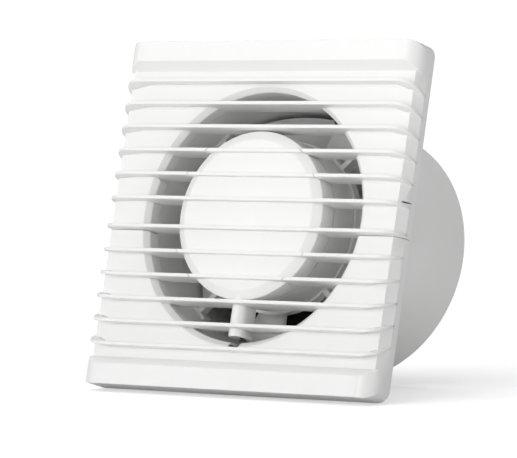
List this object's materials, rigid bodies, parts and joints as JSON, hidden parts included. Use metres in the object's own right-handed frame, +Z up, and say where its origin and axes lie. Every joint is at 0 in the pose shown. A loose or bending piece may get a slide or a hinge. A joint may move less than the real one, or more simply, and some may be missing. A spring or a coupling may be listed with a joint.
{
  "type": "bathroom extractor fan",
  "caption": "Square wall extractor fan with a finned grille, a round motor cap, an impeller in a round spigot and a back-draught flap.",
  "frame": {"origin": "on the duct axis, in the wall plane at the back of the wall plate", "axes": "+Y along the duct axis into the wall, the grille faces -Y, +Z up, +X to the right seen from the room"},
  "size_m": [0.2, 0.1152, 0.2],
  "materials": {
    "white_plastic": "satin",
    "impeller_plastic": "satin",
    "laminations": "brushed",
    "bobbin_nylon": "matte",
    "winding_tape": "matte",
    "copper": "satin",
    "plated_steel": "satin",
    "ground_steel": "polished",
    "sintered_bronze": "matte",
    "black_plastic": "matte",
    "terminal_nylon": "matte",
    "brass": "satin",
    "grommet_rubber": "matte"
  },
  "bodies": {
    "housing": {"wall_plate": "white_plastic", "duct_spigot": "white_plastic", "motor_pod": "white_plastic", "strut_ring": "white_plastic", "motor_cap": "white_plastic", "stator_core": "laminations", "coil_bobbin": "bobbin_nylon", "coil_winding": "winding_tape", "shading_rings": "copper", "front_bearing_bracket": "plated_steel", "rear_bearing_bracket": "plated_steel", "front_bush": "sintered_bronze", "rear_bush": "sintered_bronze", "bracket_spacers": "plated_steel", "motor_bolts": "plated_steel", "motor_nuts": "plated_steel", "shutter_frame": "black_plastic", "shutter_pin": "ground_steel", "terminal_block": "terminal_nylon", "terminal_inserts": "brass", "terminal_screws": "plated_steel", "block_screw": "plated_steel", "cable_clamp": "terminal_nylon", "clamp_screws": "plated_steel", "cable_grommet": "grommet_rubber"},
    "rotor": {"rotor_core": "laminations", "motor_shaft": "ground_steel", "impeller": "impeller_plastic", "impeller_washer": "plated_steel", "impeller_nut": "plated_steel"},
    "upper_cover_body": {"upper_cover": "white_plastic"},
    "lower_cover_body": {"lower_cover": "white_plastic"},
    "flap": {"shutter_flap": "black_plastic"}
  },
  "joints": [
    {"name": "impeller_spin", "type": "hinge", "parent": "housing", "child": "rotor", "pos_m": [0, 0, 0], "axis": [0, 1, 0], "continuous": true},
    {"name": "shutter_swing", "type": "hinge", "parent": "housing", "child": "flap", "pos_m": [0, 0.0883, 0.05], "axis": [1, 0, 0], "range_deg": [0, 70]},
    {"name": "upper_cover_pull", "type": "slide", "parent": "housing", "child": "upper_cover_body", "axis": [0, -1, 0], "range_m": [0, 0.06]},
    {"name": "lower_cover_pull", "type": "slide", "parent": "housing", "child": "lower_cover_body", "axis": [0, -1, 0], "range_m": [0, 0.06]}
  ]
}
